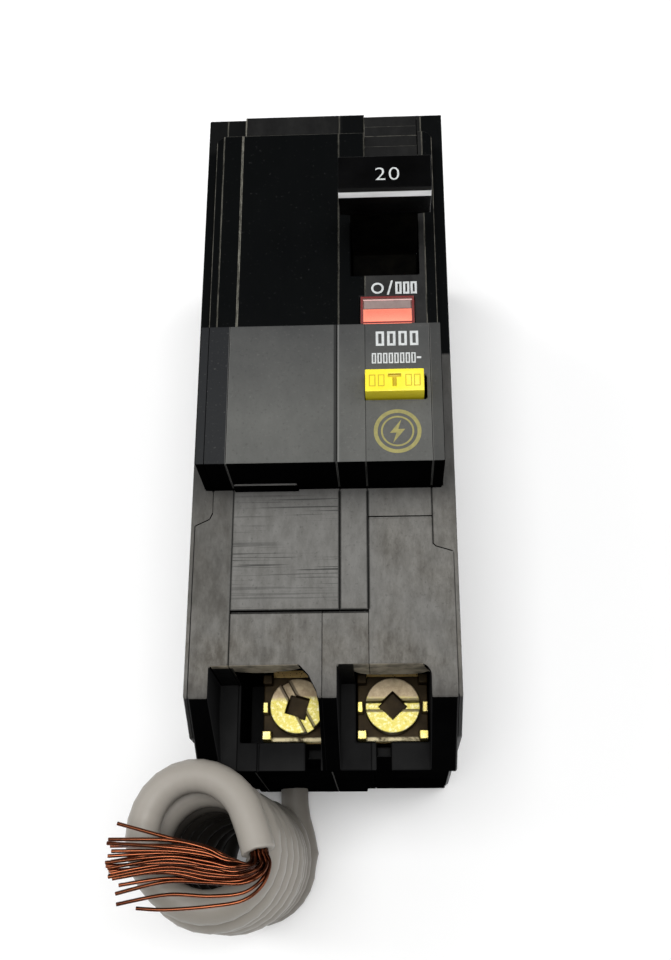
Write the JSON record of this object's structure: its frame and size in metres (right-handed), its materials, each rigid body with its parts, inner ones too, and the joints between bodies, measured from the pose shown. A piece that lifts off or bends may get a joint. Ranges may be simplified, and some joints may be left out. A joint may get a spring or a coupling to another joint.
{
  "type": "gfci circuit breaker",
  "caption": "Two-pole plug-on ground-fault circuit breaker with a single rocking handle, test button, trip window, screw terminals and a coiled neutral pigtail.",
  "frame": {"origin": "middle of the back face, which lies against the panel", "axes": "+Z out of the panel face towards the handle, +Y towards the plug-on jaw end, -Y towards the load terminals, X across the poles"},
  "size_m": [0.0475, 0.1257, 0.0757],
  "materials": {
    "case_plastic": "moulded, satin, scuffed",
    "handle_plastic": "smooth gloss",
    "lens_plastic": "clear",
    "button_plastic": "satin",
    "flag_plastic": "satin",
    "spring_steel": "drawn wire",
    "plated_steel": "zinc plated",
    "yellow_plate": "yellow chromate plated, bright",
    "brass_strip": "stamped",
    "copper": "bare, bright",
    "phenolic": "moulded phenolic",
    "board": "solder mask",
    "component_black": "moulded",
    "component_blue": "dipped epoxy",
    "wire_insulation": "smooth extruded"
  },
  "bodies": {
    "case": {"left_cover": "case_plastic", "left_case": "case_plastic", "module_case": "case_plastic", "centre_frame": "case_plastic", "right_case": "case_plastic", "right_cover": "case_plastic", "case_rivets": "plated_steel", "indicator_lens": "lens_plastic", "test_button_spring": "spring_steel", "test_contact": "brass_strip", "trip_lever_pin": "plated_steel", "line_jaw_left": "brass_strip", "line_jaw_right": "brass_strip", "flexible_braids": "copper", "bimetal_left": "plated_steel", "bimetal_right": "plated_steel", "magnet_yoke_left": "plated_steel", "magnet_yoke_right": "plated_steel", "load_terminal_left": "brass_strip", "load_terminal_right": "brass_strip", "circuit_board": "board", "control_chip": "component_black", "surge_varistor": "component_blue", "filter_capacitor": "component_black", "sensing_transformer": "phenolic", "solenoid_frame": "plated_steel", "solenoid_coil": "copper", "neutral_terminal": "brass_strip", "pigtail_lead": "wire_insulation", "pigtail_coil": "wire_insulation", "pigtail_strands": "copper"},
    "handle": {"handle": "handle_plastic"},
    "contacts": {"contact_crossbar": "phenolic", "contact_arm_left": "copper", "contact_arm_right": "copper", "toggle_spring_left": "spring_steel", "toggle_spring_right": "spring_steel"},
    "test_button": {"test_button": "button_plastic"},
    "trip_lever": {"trip_lever": "plated_steel"},
    "trip_flag": {"trip_flag": "flag_plastic"},
    "trip_bar": {"trip_bar": "phenolic"},
    "solenoid_plunger": {"solenoid_plunger": "plated_steel"},
    "saddle_left": {"saddle_clamp_left": "yellow_plate"},
    "saddle_right": {"saddle_clamp_right": "yellow_plate"},
    "screw_left": {"terminal_screw_left": "yellow_plate"},
    "screw_right": {"terminal_screw_right": "yellow_plate"}
  },
  "joints": [
    {"name": "handle_swing", "type": "hinge", "parent": "case", "child": "handle", "pos_m": [0.0094, 0.0271, 0.048], "axis": [-1, 0, 0], "range_deg": [-20, 20]},
    {"name": "contacts_swing", "type": "hinge", "parent": "case", "child": "contacts", "pos_m": [0.0034, 0.022, 0.032], "axis": [1, 0, 0], "range_deg": [-13, 13]},
    {"name": "test_press", "type": "slide", "parent": "case", "child": "test_button", "axis": [0, 0, -1], "range_m": [0, 0.0013], "stiffness_N_per_m": 800, "springref_m": -0.0005, "deforming": ["test_button_spring"]},
    {"name": "flag_slide", "type": "slide", "parent": "case", "child": "trip_flag", "axis": [0, 1, 0], "range_m": [-0.0034, 0]},
    {"name": "lever_reset", "type": "hinge", "parent": "case", "child": "trip_lever", "pos_m": [0.0095, 0.0103, 0.044], "axis": [1, 0, 0], "range_deg": [0, 17.6]},
    {"name": "bar_turn", "type": "hinge", "parent": "case", "child": "trip_bar", "pos_m": [0.0034, 0.003, 0.026], "axis": [1, 0, 0], "range_deg": [-9.5, 0]},
    {"name": "plunger_slide", "type": "slide", "parent": "case", "child": "solenoid_plunger", "axis": [0, 1, 0], "range_m": [-0.00303, 0]},
    {"name": "saddle_lift_left", "type": "slide", "parent": "case", "child": "saddle_left", "axis": [0, 0, 1], "range_m": [0, 0.00318]},
    {"name": "saddle_lift_right", "type": "slide", "parent": "case", "child": "saddle_right", "axis": [0, 0, 1], "range_m": [0, 0.00318]},
    {"name": "screw_turn_left", "type": "hinge", "parent": "saddle_left", "child": "screw_left", "pos_m": [-0.00425, -0.043, 0.044], "axis": [0, 0, 1], "range_deg": [0, 1440]},
    {"name": "screw_turn_right", "type": "hinge", "parent": "saddle_right", "child": "screw_right", "pos_m": [0.0095, -0.043, 0.044], "axis": [0, 0, 1], "range_deg": [0, 1440]}
  ],
  "couplings": [
    {"joint": "contacts_swing", "follows": "handle_swing", "ratio": 0.65},
    {"joint": "lever_reset", "follows": "flag_slide", "rad_per_m": -90.34},
    {"joint": "bar_turn", "follows": "flag_slide", "rad_per_m": 48.76},
    {"joint": "plunger_slide", "follows": "flag_slide", "ratio": 0.891},
    {"joint": "screw_turn_left", "follows": "saddle_lift_left", "rad_per_m": 7913},
    {"joint": "screw_turn_right", "follows": "saddle_lift_right", "rad_per_m": 7913}
  ]
}
